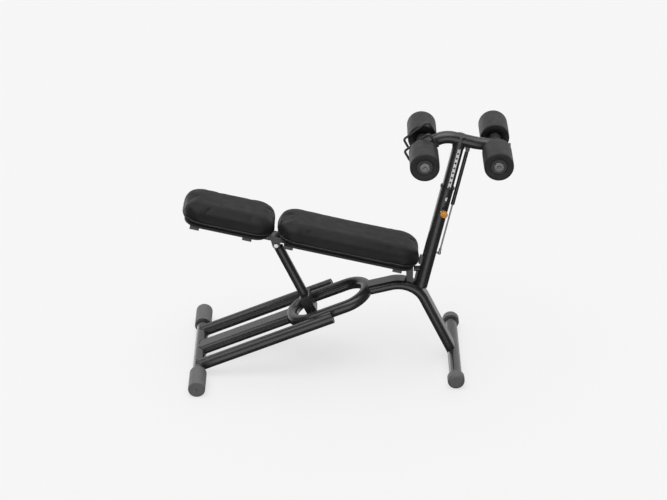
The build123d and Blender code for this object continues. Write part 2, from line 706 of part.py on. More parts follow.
with BuildPart() as height_scale:
    with BuildSketch(section_plane(COLUMN, SCALE_FROM + 1)):
        with Locations(index_spot(SCALE_FLAT + 0.05 + STRIP / 2)):
            Rectangle(STRIP, STRIP_WIDTH, rotation=INDEX_TURN)
    extrude(amount=COLLAR_FROM - SCALE_FROM - 2)
    add(index_holes.part, mode=Mode.SUBTRACT)
height_scale.part.label = "height_scale"
export_step(height_scale.part, "parts/height_scale.step")

with BuildPart() as tube_glider:
    with BuildSketch(section_plane(COLUMN, INNER_BOTTOM)):
        Circle(COLUMN_BORE - RUNNING)
        Circle(INNER_R + 0.02, mode=Mode.SUBTRACT)
    extrude(amount=30)
tube_glider.part.label = "tube_glider"
export_step(tube_glider.part, "parts/tube_glider.step")

with BuildPart() as bar_collar:
    with BuildSketch(section_plane(COLUMN, COLLAR_FROM)):
        Circle(INNER_R + 3)
        Circle(INNER_R + 0.1, mode=Mode.SUBTRACT)
    extrude(amount=60)
    add(bar_solid, mode=Mode.SUBTRACT)
    keep_below = bar_collar.solids().sort_by(Axis.Z)[0]
    add(keep_below, mode=Mode.INTERSECT)
bar_collar.part.label = "bar_collar"
export_step(bar_collar.part, "parts/bar_collar.step")

# ---- column head: gas cylinder and its bracket ----
GAS_R = 9.0
GAS_FROM = 418.0
GAS_TO = 693.0
GAS_EYE = GAS_TO + 13
with BuildPart() as gas_cylinder:
    with BuildSketch(section_plane(COLUMN, GAS_FROM, GAS_OFFSET)):
        Circle(GAS_R)
    extrude(amount=GAS_TO - GAS_FROM)
    chamfer(gas_cylinder.edges().filter_by(GeomType.CIRCLE), 1.5)
    with BuildSketch(section_plane(COLUMN, GAS_TO, GAS_OFFSET)):
        Circle(5)
    extrude(amount=GAS_EYE + 6 - GAS_TO)
    with BuildSketch(section_plane(COLUMN, GAS_FROM - 1, GAS_OFFSET)):
        Circle(4 + RUNNING)
    extrude(amount=GAS_TO - GAS_FROM - 8, mode=Mode.SUBTRACT)
gas_cylinder.part.label = "gas_cylinder"
export_step(gas_cylinder.part, "parts/gas_cylinder.step")

gas_top = COLUMN.from_local_coords((GAS_EYE, GAS_OFFSET, 0))
with BuildPart() as gas_bracket:
    with BuildSketch(Plane.XZ):
        with Locations((gas_top.X, gas_top.Z)):
            Circle(9.5)
        with Locations((gas_top.X, gas_top.Z + 26)):
            Rectangle(26, 6)
        make_hull()
    extrude(amount=11, both=True)
    with BuildSketch(Plane.XZ):
        with Locations((gas_top.X, gas_top.Z - 4)):
            Rectangle(60, 44)
    extrude(amount=6.5, both=True, mode=Mode.SUBTRACT)
    add(bar_solid, mode=Mode.SUBTRACT)
    add(bar_collar.part, mode=Mode.SUBTRACT)
gas_bracket.part.label = "gas_bracket"
export_step(gas_bracket.part, "parts/gas_bracket.step")

# ---- column head: grab loops beside the knee rollers ----
LOOP_R = 5.5
LOOP_Y = 64.0
for side, sign in SIDES:
    with BuildPart() as grab_loop:
        with BuildLine() as path:
            FilletPolyline(
                (KNEE_X + 66, sign * 20, KNEE_Z + 22),
                (KNEE_X + 66, sign * LOOP_Y, KNEE_Z + 22),
                (KNEE_X + 24, sign * LOOP_Y, KNEE_Z + 91),
                (KNEE_X - 87, sign * LOOP_Y, KNEE_Z + 2),
                (KNEE_X - 62, sign * LOOP_Y, KNEE_Z - 44),
                (KNEE_X, sign * LOOP_Y, KNEE_Z - 44),
                (KNEE_X, sign * LOOP_Y, KNEE_Z - 14),
                radius=[16, 14, 12, 12, 12],
            )
        with BuildSketch(Plane(origin=path.line @ 0, z_dir=path.line % 0)):
            Circle(LOOP_R)
        sweep(path=path.line)
        add(bar_solid, mode=Mode.SUBTRACT)
        add(y_cylinder(KNEE_X, KNEE_Z, HUB_R, -90, 90), mode=Mode.SUBTRACT)
    grab_loop.part.label = f"grab_loop_{side}"
    export_step(grab_loop.part, f"parts/grab_loop_{side}.step")

# ---- rollers: plastic core with a hub cap, foam sleeve ----
CORE_R = 30.0
RECESS_R = 36.0
RECESS = 8.0
for hub_name, x, z in HUBS:
    for side, sign in SIDES:
        with BuildPart() as core:
            with BuildSketch(cross_plane(x, z, sign * (ROLLER_INNER - 2))):
                Circle(CORE_R)
            extrude(amount=sign * (ROLLER_OUTER - ROLLER_INNER - 5))
            with BuildSketch(cross_plane(x, z, sign * (ROLLER_OUTER - RECESS + 0.2))):
                Circle(RECESS_R - 0.3)
            extrude(amount=sign * 3)
            with BuildSketch(cross_plane(x, z, sign * (ROLLER_OUTER - RECESS + 3))):
                Circle(22.5)
            extrude(amount=sign * 6.5)
            fillet(core.edges().filter_by(GeomType.CIRCLE).sort_by(Axis.Y)[-1 if sign > 0 else 0], 3)
            with BuildSketch(cross_plane(x, z, sign * (ROLLER_INNER - 5))):
                Circle(AXLE_R + RUNNING)
            extrude(amount=sign * (ROLLER_OUTER - ROLLER_INNER - 6), mode=Mode.SUBTRACT)
        core.part.label = f"{hub_name}_core_{side}"
        export_step(core.part, f"parts/{hub_name}_core_{side}.step")
        with BuildPart() as foam:
            with BuildSketch(cross_plane(x, z, sign * ROLLER_INNER)):
                Circle(ROLLER_R)
            extrude(amount=sign * (ROLLER_OUTER - ROLLER_INNER))
            fillet(foam.edges().filter_by(GeomType.CIRCLE), 6)
            with BuildSketch(cross_plane(x, z, sign * (ROLLER_INNER - 1))):
                Circle(CORE_R + 0.1)
            extrude(amount=sign * (ROLLER_OUTER - ROLLER_INNER), mode=Mode.SUBTRACT)
            with BuildSketch(cross_plane(x, z, sign * ROLLER_OUTER)):
                Circle(RECESS_R)
            extrude(amount=-sign * RECESS, mode=Mode.SUBTRACT)
        foam.part.label = f"{hub_name}_foam_{side}"
        export_step(foam.part, f"parts/{hub_name}_foam_{side}.step")
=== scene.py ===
import json
from math import cos, pi, radians, sin
import bmesh
import bpy
from mathutils import Matrix, Vector
from mathutils.bvhtree import BVHTree


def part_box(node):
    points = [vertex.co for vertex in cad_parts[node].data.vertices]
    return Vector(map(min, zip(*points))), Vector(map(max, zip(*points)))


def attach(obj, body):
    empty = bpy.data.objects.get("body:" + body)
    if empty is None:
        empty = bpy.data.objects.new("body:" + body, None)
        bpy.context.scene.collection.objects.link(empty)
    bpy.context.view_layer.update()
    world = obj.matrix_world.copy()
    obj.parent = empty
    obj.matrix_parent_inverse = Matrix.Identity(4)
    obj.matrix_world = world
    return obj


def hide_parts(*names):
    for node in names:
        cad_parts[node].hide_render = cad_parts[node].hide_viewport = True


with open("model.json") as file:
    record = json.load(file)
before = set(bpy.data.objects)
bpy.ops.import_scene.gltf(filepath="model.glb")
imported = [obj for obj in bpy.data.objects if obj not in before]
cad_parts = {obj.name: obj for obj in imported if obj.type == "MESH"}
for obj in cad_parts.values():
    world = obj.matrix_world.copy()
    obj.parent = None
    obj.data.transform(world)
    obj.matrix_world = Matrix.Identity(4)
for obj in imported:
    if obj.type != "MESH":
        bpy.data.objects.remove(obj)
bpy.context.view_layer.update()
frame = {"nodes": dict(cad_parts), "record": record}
nodes = frame["nodes"]


# ---- materials: a small wrapper round the node tree ----
MIX_COLOUR_SOCKETS = (6, 7)     # the two colour inputs of a Mix node
MIX_COLOUR_RESULT = 2


class Shader:
    """A Principled material whose textures are placed in the object's own metres."""

    def __init__(self, name, **sockets):
        self.material = bpy.data.materials.new(name)
        self.material.use_nodes = True
        self.tree = self.material.node_tree
        self.surface = self.tree.nodes["Principled BSDF"]
        self.place = self.add("ShaderNodeTexCoord").outputs["Object"]
        for socket, value in sockets.items():
            self.surface.inputs[socket.replace("_", " ")].default_value = value

    def add(self, kind, inputs=None, **settings):
        node = self.tree.nodes.new(kind)
        for key, value in settings.items():
            setattr(node, key, value)
        for key, value in (inputs or {}).items():
            if isinstance(value, bpy.types.NodeSocket):
                self.tree.links.new(value, node.inputs[key])
            else:
                node.inputs[key].default_value = value
        return node

    def noise(self, scale, detail=2.0, roughness=0.5, place=None):
        made = self.add("ShaderNodeTexNoise", {"Vector": place or self.place, "Scale": scale})
        made.inputs["Detail"].default_value = detail
        made.inputs["Roughness"].default_value = roughness
        return made.outputs["Fac"]

    def cells(self, scale, feature="F1", place=None):
        inputs = {"Vector": place or self.place, "Scale": scale}
        made = self.add("ShaderNodeTexVoronoi", inputs, feature=feature)
        return made.outputs["Distance"]

    def stretched(self, x, y, z):
        made = self.add("ShaderNodeMapping", {"Vector": self.place, "Scale": (x, y, z)})
        return made.outputs["Vector"]

    def ramp(self, value, low, high, dark, light):
        """value from low to high gives grey or colour from dark to light."""
        made = self.add("ShaderNodeValToRGB", {"Fac": value})
        for element, position, tone in zip(made.color_ramp.elements, (low, high), (dark, light)):
            element.position = position
            element.color = (*tone, 1) if isinstance(tone, tuple) else (tone, tone, tone, 1)
        return made.outputs["Color"]

    def mixed(self, factor, first, second):
        """first and second blended; each is a socket or a colour."""
        made = self.add("ShaderNodeMix", {"Factor": factor}, data_type="RGBA")
        for socket, value in zip(MIX_COLOUR_SOCKETS, (first, second)):
            if isinstance(value, bpy.types.NodeSocket):
                self.tree.links.new(value, made.inputs[socket])
            else:
                made.inputs[socket].default_value = (*value, 1)
        return made.outputs[MIX_COLOUR_RESULT]

    def feed(self, socket, value):
        self.tree.links.new(value, self.surface.inputs[socket])

    def bump(self, height, strength, distance, under=None):
        made = self.add("ShaderNodeBump", {"Height": height, "Strength": strength, "Distance": distance})
        if under is not None:
            self.tree.links.new(under, made.inputs["Normal"])
        return made.outputs["Normal"]


def powder_coat(name, dark, light, rough):
    """Satin paint with a slight orange peel and a fine grain."""
    s = Shader(name)
    s.feed("Base Color", s.ramp(s.noise(9, 4), 0.3, 0.7, dark, light))
    s.feed("Roughness", s.ramp(s.noise(60, 3), 0.3, 0.75, rough - 0.05, rough + 0.06))
    peel = s.bump(s.noise(260, 2), 0.025, 0.0005)
    s.feed("Normal", s.bump(s.noise(1500, 1), 0.04, 0.0002, peel))
    return s.material


def rubber(name, dark, light, rough):
    """Matte rubber, also used for thread."""
    s = Shader(name)
    s.feed("Base Color", s.ramp(s.noise(14, 5, 0.6), 0.3, 0.72, dark, light))
    s.feed("Roughness", s.ramp(s.noise(90, 3), 0.3, 0.7, rough - 0.06, rough + 0.08))
    s.feed("Normal", s.bump(s.noise(2400, 2, 0.7), 0.25, 0.0003))
    return s.material


def plastic(name, dark, light, rough, grain=1600):
    """Moulded plastic with a fine grain; also a smooth sprayed paint, with a coarser one."""
    s = Shader(name)
    s.feed("Base Color", s.ramp(s.noise(20, 3), 0.3, 0.7, dark, light))
    s.feed("Roughness", s.ramp(s.noise(120, 3), 0.3, 0.7, rough - 0.05, rough + 0.05))
    s.feed("Normal", s.bump(s.cells(grain), 0.12, 0.0002))
    return s.material


def metal(name, dark, light, rough, stretch):
    """Metal with streaks that run where stretch is small."""
    s = Shader(name, Metallic=1.0)
    streaks = s.noise(40, 5, 0.65, s.stretched(*stretch))
    s.feed("Base Color", s.ramp(streaks, 0.25, 0.75, dark, light))
    s.feed("Roughness", s.ramp(streaks, 0.2, 0.8, rough - 0.05, rough + 0.08))
    s.feed("Normal", s.bump(streaks, 0.06, 0.0002))
    return s.material


LEATHER_GRAIN = 820


def leatherette(name, tone, rough):
    """Pebbled grain with painted shade darkening its creases, over a slow unevenness."""
    s = Shader(name, Specular_IOR_Level=0.14)
    drift = s.add("ShaderNodeTexNoise", {"Vector": s.place, "Scale": 500}).outputs["Color"]
    wander = s.mixed(0.003, s.place, drift)
    pebble = s.cells(LEATHER_GRAIN, "SMOOTH_F1", wander)
    painted_crease_shade = s.cells(LEATHER_GRAIN, "DISTANCE_TO_EDGE", wander)
    shade = s.ramp(s.noise(7, 4), 0.3, 0.72, tone * 0.86, tone * 1.16)
    # painted shade: the base colour darkens towards a darker tone in the grain's creases
    s.feed("Base Color", s.mixed(s.ramp(painted_crease_shade, 0.0, 0.10, 0.45, 0.0), shade, (tone * 0.4,) * 3))
    s.feed("Roughness", s.ramp(s.noise(30, 4), 0.3, 0.72, rough - 0.05, rough + 0.08))
    soft = s.bump(s.noise(26, 3), 0.16, 0.004)
    s.feed("Normal", s.bump(pebble, 0.30, 0.0005, soft))
    return s.material


def foam(name, tone, rough):
    """Closed-cell foam: fine pores over a slightly uneven skin."""
    s = Shader(name, Specular_IOR_Level=0.20)
    pores = s.cells(1500)
    s.feed("Base Color", s.ramp(s.noise(16, 5, 0.6), 0.3, 0.7, tone * 0.85, tone * 1.2))
    s.feed("Roughness", s.ramp(s.noise(40, 3), 0.3, 0.7, rough - 0.05, rough + 0.06))
    skin = s.bump(s.noise(240, 3), 0.18, 0.0009)
    s.feed("Normal", s.bump(pores, 0.25, 0.0005, skin))
    return s.material


def plywood(name):
    """Black-stained plywood with its grain along X."""
    s = Shader(name)
    grain = s.noise(28, 6, 0.6, s.stretched(0.12, 1.0, 1.0))
    s.feed("Base Color", s.ramp(grain, 0.3, 0.7, (0.010, 0.009, 0.008), (0.032, 0.028, 0.025)))
    s.feed("Roughness", s.ramp(grain, 0.2, 0.8, 0.55, 0.72))
    s.feed("Normal", s.bump(grain, 0.2, 0.0008))
    return s.material


looks = {
    "frame_paint": powder_coat("frame_paint", 0.026, 0.034, 0.25),
    "foot_rubber": rubber("foot_rubber", 0.100, 0.125, 0.62),
    "black_plastic": plastic("black_plastic", 0.014, 0.022, 0.46),
    "steel": metal("steel", 0.50, 0.66, 0.30, (1, 1, 1)),
    "polished": metal("polished", 0.26, 0.36, 0.14, (1, 1, 0.05)),
    "gas_paint": plastic("gas_paint", 0.010, 0.014, 0.24, 500),
    "scale_white": plastic("scale_white", 0.90, 0.95, 0.42),
    "knob_plastic": plastic("knob_plastic", (0.78, 0.30, 0.03), (0.88, 0.38, 0.05), 0.34),
    "board_wood": plywood("board_wood"),
    "pad_leather": leatherette("pad_leather", 0.016, 0.48),
    "roller_foam": foam("roller_foam", 0.023, 0.48),
}
cap_grey = plastic("cap_grey", 0.15, 0.19, 0.36)
thread_grey = rubber("thread_grey", 0.060, 0.080, 0.60)
slot_of = {row["node"]: row["material_slot"] for row in frame["record"]["subparts"]}
for node_name, node in nodes.items():
    node.data.materials.clear()
    node.data.materials.append(looks[slot_of[node_name]])


# ---- shapes: lathed and swept pieces ----
LATHE_HINT = Vector((0.31, 0.17, 0.93))     # fixes where a lathed ring starts
SWEEP_HINT = Vector((0.05, 0.02, 1))        # fixes where a bead's ring starts
BEAD_SIDES = 8


def piece_from(name, shape, material, body):
    """Turn a bmesh into a smooth-shaded piece that rides on a body."""
    bmesh.ops.recalc_face_normals(shape, faces=shape.faces)
    mesh = bpy.data.meshes.new(name)
    shape.to_mesh(mesh)
    shape.free()
    for face in mesh.polygons:
        face.use_smooth = True
    mesh.materials.append(material)
    piece = bpy.data.objects.new(name, mesh)
    bpy.context.scene.collection.objects.link(piece)
    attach(piece, body)
    return piece


def join_rings(shape, rings, closed):
    """Faces between neighbouring rings; closed also joins the last to the first."""
    pairs = list(zip(rings, rings[1:]))
    if closed:
        pairs.append((rings[-1], rings[0]))
    for first, second in pairs:
        count = len(first)
        for i in range(count):
            j = (i + 1) % count
            shape.faces.new((first[i], first[j], second[j], second[i]))


def lathe(start, axis, profile, segments=96, closed=False, ripple=None):
    """Rings of the profile's (along, radius) points round an axis; open ends get a flat cap."""
    axis = Vector(axis).normalized()
    side = axis.cross(LATHE_HINT).normalized()
    other = axis.cross(side)
    shape = bmesh.new()
    rings = []
    for along, radius in profile:
        ring = []
        for i in range(segments):
            angle = 2 * pi * i / segments
            reach = radius + (ripple(angle, along, radius) if ripple else 0)
            around = side * cos(angle) + other * sin(angle)
            ring.append(shape.verts.new(Vector(start) + axis * along + around * reach))
        rings.append(ring)
    join_rings(shape, rings, closed)
    if not closed:
        shape.faces.new(rings[0])
        shape.faces.new(rings[-1])
    return shape


def swept_ring(shape, path, radius, ripple=None):
    """A closed bead along a closed path of points."""
    count = len(path)
    rings = []
    for k, point in enumerate(path):
        tangent = (path[(k + 1) % count] - path[k - 1]).normalized()
        side = tangent.cross(SWEEP_HINT).normalized()
        other = tangent.cross(side)
        reach = radius * (ripple(k) if ripple else 1)
        ring = []
        for i in range(BEAD_SIDES):
            angle = 2 * pi * i / BEAD_SIDES
            ring.append(shape.verts.new(point + (side * cos(angle) + other * sin(angle)) * reach))
        rings.append(ring)
    join_rings(shape, rings, True)


def arc(centre, radius, start, end, steps):
    """Profile points on a circle, angles in degrees."""
    turns = [radians(start + (end - start) * i / steps) for i in range(steps + 1)]
    return [(centre[0] + radius * cos(t), centre[1] + radius * sin(t)) for t in turns]


# ---- pads: crowned, swollen with cloth, then piped and stitched ----
PAD_SLOPE = radians(13.4)
PAD_AXES = Matrix((
    (cos(PAD_SLOPE), 0, sin(PAD_SLOPE)),
    (0, 1, 0),
    (-sin(PAD_SLOPE), 0, cos(PAD_SLOPE)),
))
PAD_PROFILE = (  # height over the board and inset, from the bottom up, in metres
    (0.000, 0.018), (0.006, 0.010), (0.020, 0.003), (0.036, 0.000),
    (0.054, 0.002), (0.066, 0.007), (0.075, 0.017), (0.082, 0.036), (0.086, 0.070),
)
PAD_REACH = {"seat_pad": (-0.008, 0.003), "head_pad": (0.0, 0.011)}   # past the CAD pad's two ends
PAD_CORNER = 0.095
SMALLEST_CORNER = 0.03
PAD_SHRINK = 0.005              # room for the swelling
PAD_VOXEL = 0.0055
OUTLINE_STEP = 0.008
CORNER_STEPS = 15
SEAM_HEIGHT = 0.022
PINNED_HEIGHT = 0.004           # the cloth is held below it, on the board
SWELL_CAP = 0.007
CLOTH_PRESSURE = 4
CLOTH_FRAMES = 20


def outline(length, width, corner):
    """Points and outward directions round a rounded rectangle, evenly spaced."""
    straight_x, straight_y = length / 2 - corner, width / 2 - corner
    found = []
    for qx, qy, start in ((1, 1, 0), (-1, 1, 90), (-1, -1, 180), (1, -1, 270)):
        for i in range(CORNER_STEPS + 1):
            turn = radians(start + 90 * i / CORNER_STEPS)
            way = Vector((cos(turn), sin(turn)))
            found.append((Vector((qx * straight_x, qy * straight_y)) + way * corner, way))
    points = []
    for k, (spot, way) in enumerate(found):
        after, way_after = found[(k + 1) % len(found)]
        steps = max(1, round((after - spot).length / OUTLINE_STEP))
        for i in range(steps):
            blend = i / steps
            points.append((spot.lerp(after, blend), way.lerp(way_after, blend).normalized()))
    return points


def swell(piece, cap, pinned_below):
    """Inflate a closed skin with Cloth, limited to cap metres, and apply it."""
    start = [v.co.copy() for v in piece.data.vertices]
    pin = piece.vertex_groups.new(name="pin")
    pin.add([i for i, co in enumerate(start) if pinned_below(co)], 1.0, "REPLACE")
    cloth = piece.modifiers.new("cloth", "CLOTH")
    cloth.settings.vertex_group_mass = "pin"
    cloth.settings.use_pressure = True
    cloth.settings.uniform_pressure_force = CLOTH_PRESSURE
    cloth.settings.effector_weights.gravity = 0
    cloth.settings.quality = 5
    cloth.collision_settings.use_collision = False
    scene = bpy.context.scene
    for step in range(1, CLOTH_FRAMES + 1):
        scene.frame_set(step)
    settled = piece.evaluated_get(bpy.context.evaluated_depsgraph_get())
    moved = [v.co.copy() for v in settled.data.vertices]
    piece.modifiers.remove(cloth)
    piece.vertex_groups.remove(pin)
    scene.frame_set(1)
    for vertex, before, after in zip(piece.data.vertices, start, moved):
        shift = after - before
        if shift.length > cap:
            shift *= cap / shift.length
        vertex.co = before + shift


def apply_modifiers(piece):
    evaluated = piece.evaluated_get(bpy.context.evaluated_depsgraph_get())
    baked = bpy.data.meshes.new_from_object(evaluated)
    piece.modifiers.clear()
    piece.data = baked


def upholstered_pad(name, node, material):
    """A crowned, cloth-swollen pad with a piped, stitched seam round it."""
    to_pad = PAD_AXES.transposed()
    local = [to_pad @ v.co for v in nodes[node].data.vertices]
    low = Vector([min(p[i] for p in local) for i in range(3)])
    high = Vector([max(p[i] for p in local) for i in range(3)])
    low.x += PAD_REACH[node][0]
    high.x += PAD_REACH[node][1]
    middle = Vector(((low.x + high.x) / 2, 0, low.z))
    length, width = high.x - low.x, high.y - low.y
    shape = bmesh.new()
    rings = []
    for height, inset in PAD_PROFILE:
        inset += PAD_SHRINK
        corner = max(PAD_CORNER - inset, SMALLEST_CORNER)
        edge = outline(length - 2 * inset, width - 2 * inset, corner)
        rings.append([Vector((spot.x, spot.y, height)) + middle for spot, _ in edge])
    count = min(len(ring) for ring in rings)
    verts = []
    for ring in rings:
        picked = [ring[i * len(ring) // count] for i in range(count)]
        verts.append([shape.verts.new(PAD_AXES @ spot) for spot in picked])
    join_rings(shape, verts, False)
    shape.faces.new(verts[0])
    shape.faces.new(verts[-1])
    piece = piece_from(name, shape, material, "bench")
    remesh = piece.modifiers.new("remesh", "REMESH")
    remesh.mode = "VOXEL"
    remesh.voxel_size = PAD_VOXEL
    remesh.use_smooth_shade = True
    apply_modifiers(piece)
    held = low.z + PINNED_HEIGHT
    swell(piece, SWELL_CAP, lambda co: (to_pad @ co).z < held)
    smooth = piece.modifiers.new("smooth", "SMOOTH")
    smooth.iterations = 6
    smooth.factor = 0.5
    rounder = piece.modifiers.new("rounder", "SUBSURF")
    rounder.levels = 1
    apply_modifiers(piece)
    sew(piece, name, middle, low.z + SEAM_HEIGHT, length, width)
    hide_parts(node)


SEAM_PRESS = 0.0022
SEAM_PRESS_REACH = 0.005        # above and below the seam
PIPING_R = 0.0017
PIPING_SUNK = 0.0006
STITCH_EVERY = 0.008
STITCH_DROP = 0.0045            # the stitches run below the piping
STITCH_HALF = 0.0026
STITCH_RISE = 0.0009
STITCH_BOW = 0.0007
THREAD_SHAPE = ((-0.0007, -0.00024), (0.0007, -0.00024), (0, 0.0006))
LOOK_FROM = 0.025               # how far outside the pad's edge the skin is looked for


def sew(piece, name, middle, seam_z, length, width):
    """Press a seam into the pad, and lay a piping and stitches along it."""
    faces = [face.vertices for face in piece.data.polygons]
    tree = BVHTree.FromPolygons([v.co for v in piece.data.vertices], faces)

    def on_skin(height):
        path = []
        for spot, way in outline(length + 2 * LOOK_FROM, width + 2 * LOOK_FROM, PAD_CORNER + LOOK_FROM):
            origin = PAD_AXES @ Vector((spot.x + middle.x, spot.y, height))
            hit = tree.ray_cast(origin, PAD_AXES @ Vector((-way.x, -way.y, 0)))[0]
            if hit is not None:
                path.append((hit, PAD_AXES @ Vector((way.x, way.y, 0))))
        return path

    seam = on_skin(seam_z)
    stitches = on_skin(seam_z - STITCH_DROP)
    to_pad = PAD_AXES.transposed()
    skin = [(v.co.copy(), v.normal.copy()) for v in piece.data.vertices]
    for vertex, (spot, normal) in zip(piece.data.vertices, skin):
        off = (to_pad @ spot).z - seam_z
        vertex.co = spot - normal * SEAM_PRESS * max(0.0, 1 - (off / SEAM_PRESS_REACH) ** 2)
    shape = bmesh.new()
    swept_ring(shape, [spot - way * PIPING_SUNK for spot, way in seam], PIPING_R)
    piece_from(f"{name}_piping", shape, thread_grey, "bench")
    shape = bmesh.new()
    travelled = 0.0
    for k in range(len(stitches)):
        spot, way = stitches[k]
        before = stitches[k - 1][0]
        travelled += (spot - before).length
        if travelled < STITCH_EVERY:
            continue
        travelled = 0.0
        run = (spot - before).normalized()
        cross = run.cross(way).normalized()
        rings = []
        for reach in (-1, 0, 1):
            end = spot + run * (STITCH_HALF * reach) + way * (STITCH_RISE - STITCH_BOW * abs(reach))
            rings.append([shape.verts.new(end + cross * c + way * d) for c, d in THREAD_SHAPE])
        join_rings(shape, rings, False)
        shape.faces.new(rings[0])
        shape.faces.new(rings[-1])
    piece_from(f"{name}_stitches", shape, thread_grey, "bench")


for pad_node in ("seat_pad", "head_pad"):
    upholstered_pad(f"{pad_node}_cover", pad_node, looks["pad_leather"])

# ---- leg rollers: foam sleeves and hub caps ----
FOAM_BORE = 0.0304
FOAM_EDGE = 0.006
FOAM_BARREL = 0.0004            # how much a sleeve is fuller in its middle
RECESS_R = 0.036
RECESS = 0.0078
DENT = 0.0004
DENT_SUNK = 0.0003
CAP_OUT = 0.003                 # the cap's foot over the recess's floor
CAP_PROFILE = [(0.0, 0.0228), (0.004, 0.0232), *arc((0.005, 0.0202), 0.003, 80, 20, 4)]
CAP_PROFILE += [(0.0088, 0.0190), (0.0094, 0.0120), (0.0094, 0.0085), (0.0078, 0.0080), (0.0076, 0.0010)]
CAP_LOBES = 6
CAP_LOBE = 0.0005
CAP_RIM_R = 0.018


def cap_lobes(angle, along, radius):
    """The hub cap's rim is faintly six-sided."""
    return CAP_LOBE * cos(CAP_LOBES * angle) if radius > CAP_RIM_R else 0.0


def foam_profile(long, wide):
    """From the bore at the inner end, over the outside, to the recess for the hub cap."""
    edge = wide - FOAM_EDGE
    profile = [(0.0, FOAM_BORE), (0.0, edge - 0.008)]
    profile += arc((FOAM_EDGE, edge), FOAM_EDGE, 180, 90, 8)
    profile += [(long * t, wide + FOAM_BARREL * sin(pi * t)) for t in (0.15, 0.3, 0.45, 0.6, 0.75, 0.85)]
    profile += arc((long - FOAM_EDGE, edge), FOAM_EDGE, 90, 0, 8)
    profile += [(long, RECESS_R + 0.004), (long - 0.0012, RECESS_R + 0.001), (long - 0.004, RECESS_R)]
    return profile + [(long - RECESS, RECESS_R), (long - RECESS, FOAM_BORE)]


def make_roller(roller):
    """A foam sleeve in place of the plain one, and the cap on its outer end."""
    foam_node = roller.replace("roller", "foam")
    low, high = (Vector(c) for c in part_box(foam_node))
    facing = 1 if "left" in roller else -1
    centre = (low + high) / 2
    wide = (high.x - low.x) / 2
    long = high.y - low.y
    inner_end = Vector((centre.x, low.y if facing > 0 else high.y, centre.z))
    phase = len(roller) + (centre.x * 40) % 3

    def dents(angle, along, radius):
        if radius < RECESS_R + 0.006:
            return 0.0
        return DENT * sin(3 * angle + phase) * sin(40 * along + phase) - DENT_SUNK

    foam_shape = lathe(inner_end, (0, facing, 0), foam_profile(long, wide), 128, closed=True, ripple=dents)
    sleeve = piece_from(f"{roller}_sleeve", foam_shape, looks["roller_foam"], roller)
    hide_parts(foam_node)
    cap_at = inner_end + Vector((0, facing * (long - RECESS + CAP_OUT), 0))
    cap_shape = lathe(cap_at, (0, facing, 0), CAP_PROFILE, 72, ripple=cap_lobes)
    piece_from(f"{roller}_cap", cap_shape, cap_grey, roller)


for roller_name in ("knee_roller_left", "knee_roller_right", "foot_roller_left", "foot_roller_right"):
    make_roller(roller_name)

# ---- pull knob: a fluted grip in place of the plain one ----
COLUMN_LEAN = radians(12.4)
INDEX_TURN = radians(10.0)
# out of the column along the plunger, which is turned a little off square
index_way = Vector((
    sin(INDEX_TURN) * cos(COLUMN_LEAN),
    -cos(INDEX_TURN),
    -sin(INDEX_TURN) * sin(COLUMN_LEAN),
))
KNOB_LONG = 0.022
KNOB_PROFILE = [(0.0, 0.0095), (0.0008, 0.0112), *arc((0.0065, 0.0128), 0.0035, 180, 90, 4)]
KNOB_PROFILE += [(0.011, 0.0165), (0.016, 0.0165), *arc((0.0165, 0.0115), 0.0048, 85, 5, 7)]
KNOB_PROFILE += [(0.0218, 0.004)]
FLUTES = 12
FLUTE_DEPTH = 0.0009
FLUTED_FROM_R = 0.0135


def flutes(angle, along, radius):
    """Finger grooves round the knob's rim."""
    return -FLUTE_DEPTH * (0.5 + 0.5 * cos(FLUTES * angle)) ** 2 if radius > FLUTED_FROM_R else 0


knob_low, knob_high = (Vector(c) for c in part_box("pull_knob"))
knob_start = (knob_low + knob_high) / 2 - index_way * (KNOB_LONG / 2)
knob_shape = lathe(knob_start, index_way, KNOB_PROFILE, 144, ripple=flutes)
knob = piece_from("pull_knob_grip", knob_shape, looks["knob_plastic"], "plunger")
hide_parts("pull_knob")


# ---- painted shade: dark rims round the index holes in the scale, darkening the holes ----
COLUMN_FOOT = Vector((0.364, 0, 0.414))
COLUMN_WAY = Vector((sin(COLUMN_LEAN), 0, cos(COLUMN_LEAN)))
TOP_HOLE = 0.6855
HOLE_PITCH = 0.025
HOLES_IN_VIEW = 8
SHADE_RIM_AT = 0.02535                # just over the hole scale's face, from the column's centre line
SHADE_RIM_PROFILE = [(0.0, 0.0038), (0.0, 0.0048), (0.0004, 0.0047), (0.0005, 0.0043), (0.0004, 0.0038)]
for k in range(HOLES_IN_VIEW):
    shade_rim_at = COLUMN_FOOT + COLUMN_WAY * (TOP_HOLE - k * HOLE_PITCH) + index_way * SHADE_RIM_AT
    # each rim is a black ring of painted shade round a hole
    shade_rim = lathe(shade_rim_at, index_way, SHADE_RIM_PROFILE, 32, closed=True)
    piece_from(f"index_hole_shade_rim_{k + 1}", shade_rim, looks["black_plastic"], "head")


# ---- weld beads where the base's tubes leave the rear foot bar ----
FOOT_R = 0.0285
TUBE_R = 0.0283
BEAM_END_R = 0.023
BEAM_HALF_FLAT = 0.026
BASE_SLOPE = radians(22.4)
BASE_RAISE = 0.0055             # the tubes' lines pass over the bar's centre
WELD_R = 0.0028
WELD_RIPPLE = 0.16
WELD_STEPS = 90
bar_low, bar_high = (Vector(c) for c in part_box("rear_foot_bar"))
rear_bar = Vector(((bar_low.x + bar_high.x) / 2, 0, (bar_low.z + bar_high.z) / 2))
up_slope = Vector((cos(BASE_SLOPE), 0, sin(BASE_SLOPE))).normalized()
over_slope = Vector((-up_slope.z, 0, up_slope.x))


